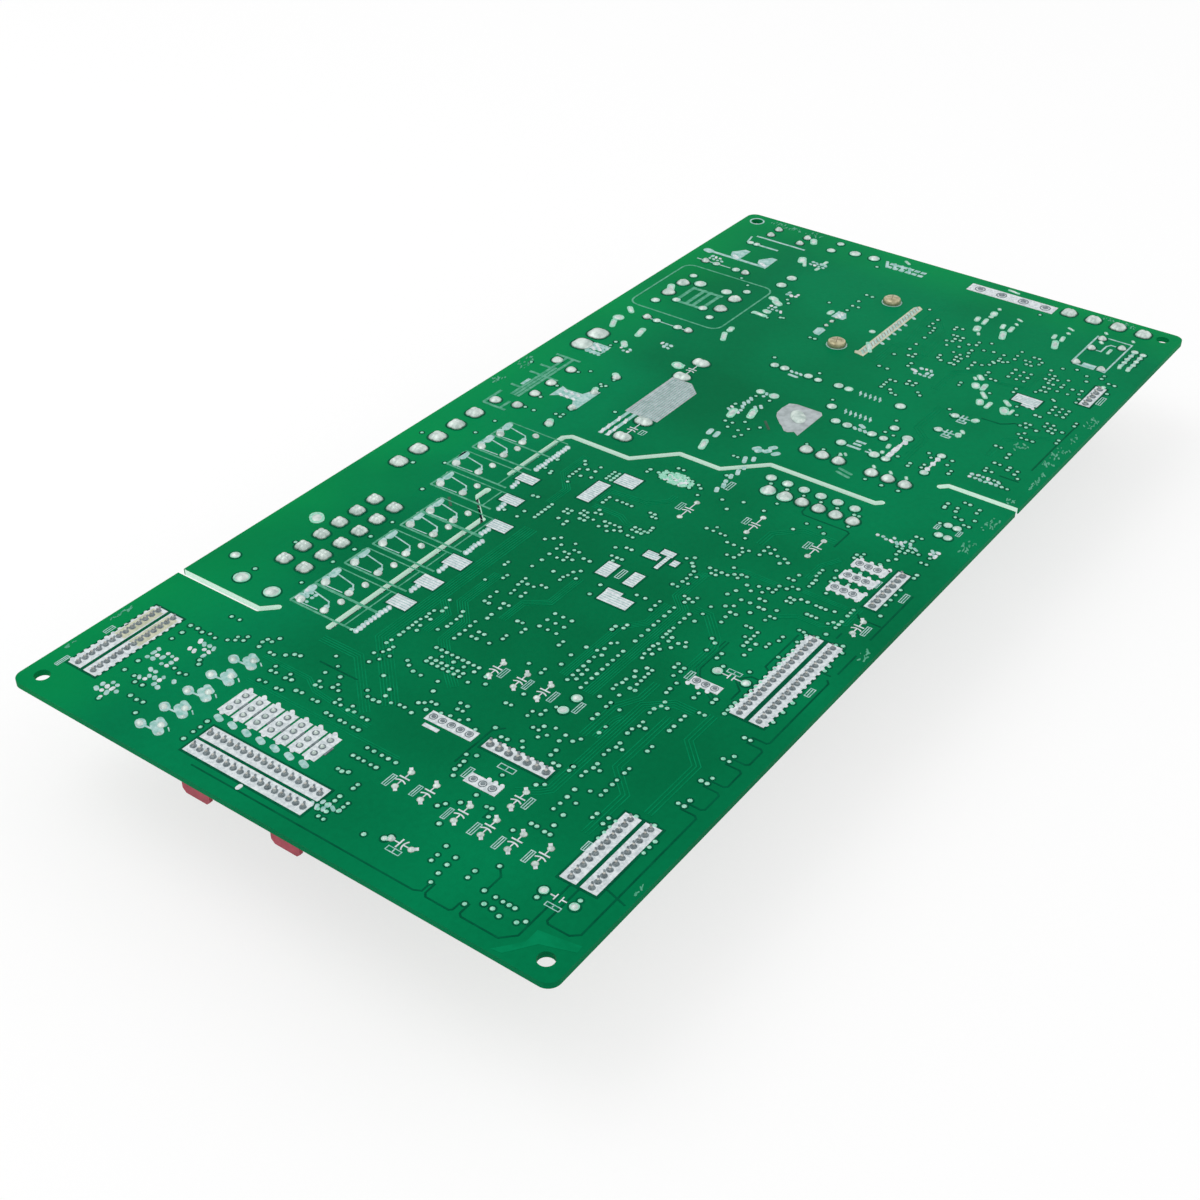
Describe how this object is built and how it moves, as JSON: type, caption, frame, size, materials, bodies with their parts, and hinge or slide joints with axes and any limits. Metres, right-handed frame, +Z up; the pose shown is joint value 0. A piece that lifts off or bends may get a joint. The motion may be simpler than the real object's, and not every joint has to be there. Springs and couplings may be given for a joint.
{
  "type": "refrigerator control board",
  "caption": "Refrigerator main control board lying component side down: green solder side up, with relays, wire headers, transformer, inverter module and capacitors underneath",
  "frame": {"origin": "middle of the board's outline, on the flat surface that the tallest parts stand on", "axes": "+X along the board towards its power inverter end, +Y across the board towards its mains terminals, +Z up out of the solder side"},
  "size_m": [0.312, 0.152, 0.0334],
  "materials": {
    "laminate": "green solder mask over glass laminate",
    "tinned_metal": "tinned",
    "red_plastic": "moulded",
    "natural_plastic": "moulded",
    "blue_case": "moulded",
    "black_plastic": "moulded",
    "ferrite": "sintered",
    "winding_tape": "polyester tape over wire",
    "copper_wire": "enamelled wire",
    "sleeve": "printed sleeve over an aluminium can",
    "yellow_plastic": "potted box",
    "blue_coating": "dipped coating",
    "green_coating": "dipped coating",
    "fuse_body": "tube with metal caps",
    "heatsink_metal": "extruded",
    "screw_metal": "zinc passivated"
  },
  "bodies": {
    "root": {"bridge_rectifier": "black_plastic", "bulk_capacitor_1": "sleeve", "bulk_capacitor_2": "sleeve", "choke_base": "black_plastic", "choke_core": "ferrite", "choke_windings": "copper_wire", "circuit_board": "laminate", "compressor_connector_housing": "natural_plastic", "compressor_connector_pins": "tinned_metal", "damper_header_housing": "natural_plastic", "damper_header_pins": "tinned_metal", "display_header_housing": "natural_plastic", "display_header_pins": "tinned_metal", "driver_ics": "black_plastic", "electrolytic_capacitors": "sleeve", "fan_header_housing": "natural_plastic", "fan_header_pins": "tinned_metal", "film_capacitors": "yellow_plastic", "fuse": "fuse_body", "heater_relay": "black_plastic", "heatsink": "heatsink_metal", "heatsink_screws": "screw_metal", "inrush_relay": "black_plastic", "latching_header_housing": "red_plastic", "latching_header_pins": "tinned_metal", "load_connector_housing": "natural_plastic", "load_connector_pins": "tinned_metal", "main_header_housing": "natural_plastic", "main_header_pins": "tinned_metal", "mains_connector_housing": "natural_plastic", "mains_connector_pins": "tinned_metal", "microcontroller": "black_plastic", "power_module": "black_plastic", "relay_1": "blue_case", "relay_10": "blue_case", "relay_2": "blue_case", "relay_3": "blue_case", "relay_4": "blue_case", "relay_5": "blue_case", "relay_6": "blue_case", "relay_7": "blue_case", "relay_8": "blue_case", "relay_9": "blue_case", "sensor_header_housing": "natural_plastic", "sensor_header_pins": "tinned_metal", "service_header_housing": "natural_plastic", "service_header_pins": "tinned_metal", "thermistor": "green_coating", "transformer_bobbin": "black_plastic", "transformer_core": "ferrite", "transformer_winding": "winding_tape", "transistors": "black_plastic", "valve_connector_housing": "natural_plastic", "valve_connector_pins": "tinned_metal", "varistor": "blue_coating", "x_capacitor_1": "yellow_plastic", "x_capacitor_2": "yellow_plastic", "y_capacitors": "blue_coating"}
  },
  "joints": []
}
